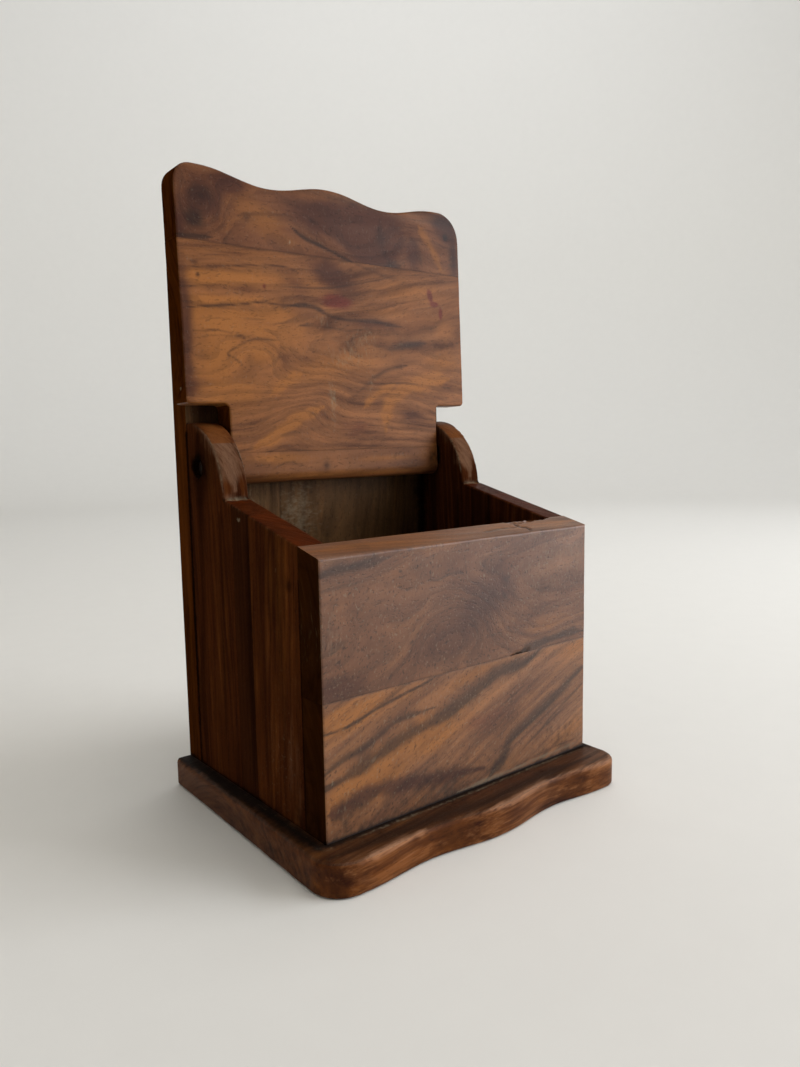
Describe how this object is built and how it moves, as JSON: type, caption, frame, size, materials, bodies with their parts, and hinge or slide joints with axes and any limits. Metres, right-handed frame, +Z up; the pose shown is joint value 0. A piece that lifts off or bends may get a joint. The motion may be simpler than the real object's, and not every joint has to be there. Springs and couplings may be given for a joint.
{
  "type": "salt box with hinged lid",
  "caption": "Small wall-hung wooden salt box: a bin with a sloping rim and a serpentine base, and a lid that turns on screws between two rounded ears.",
  "frame": {"origin": "on the wall plane, in the middle of the lower back edge of the base", "axes": "+Z up, +Y into the wall, so the front of the box looks along -Y; +X to the right"},
  "size_m": [0.1497, 0.1229, 0.2526],
  "materials": {
    "base_wood": "waxed, satin, worn at the edges",
    "back_wood": "waxed, satin, worn at the edges",
    "side_wood": "waxed, satin, worn at the edges",
    "dark_strip_wood": "waxed, satin, worn at the edges",
    "front_wood": "waxed, satin, worn at the edges",
    "lid_wood": "waxed, satin, worn at the edges",
    "dark_steel": "dull, darkened with age"
  },
  "bodies": {
    "box": {"base_board": "base_wood", "back_board_left": "back_wood", "back_board_right": "back_wood", "left_side_rear_board": "side_wood", "left_side_middle_board": "dark_strip_wood", "left_side_front_board": "side_wood", "right_side_rear_board": "side_wood", "right_side_middle_board": "dark_strip_wood", "right_side_front_board": "side_wood", "front_lower_board": "front_wood", "front_upper_board": "front_wood", "base_screws": "dark_steel", "back_screws": "dark_steel"},
    "lid": {"lid_main_board": "lid_wood", "lid_edge_board": "lid_wood", "lid_hinge_strip": "lid_wood", "hinge_screw_left": "dark_steel", "hinge_screw_right": "dark_steel"}
  },
  "joints": [
    {"name": "lid_hinge", "type": "hinge", "parent": "box", "child": "lid", "pos_m": [0, -0.0205, 0.13638], "axis": [1, 0, 0], "range_deg": [0, 106.06]}
  ]
}
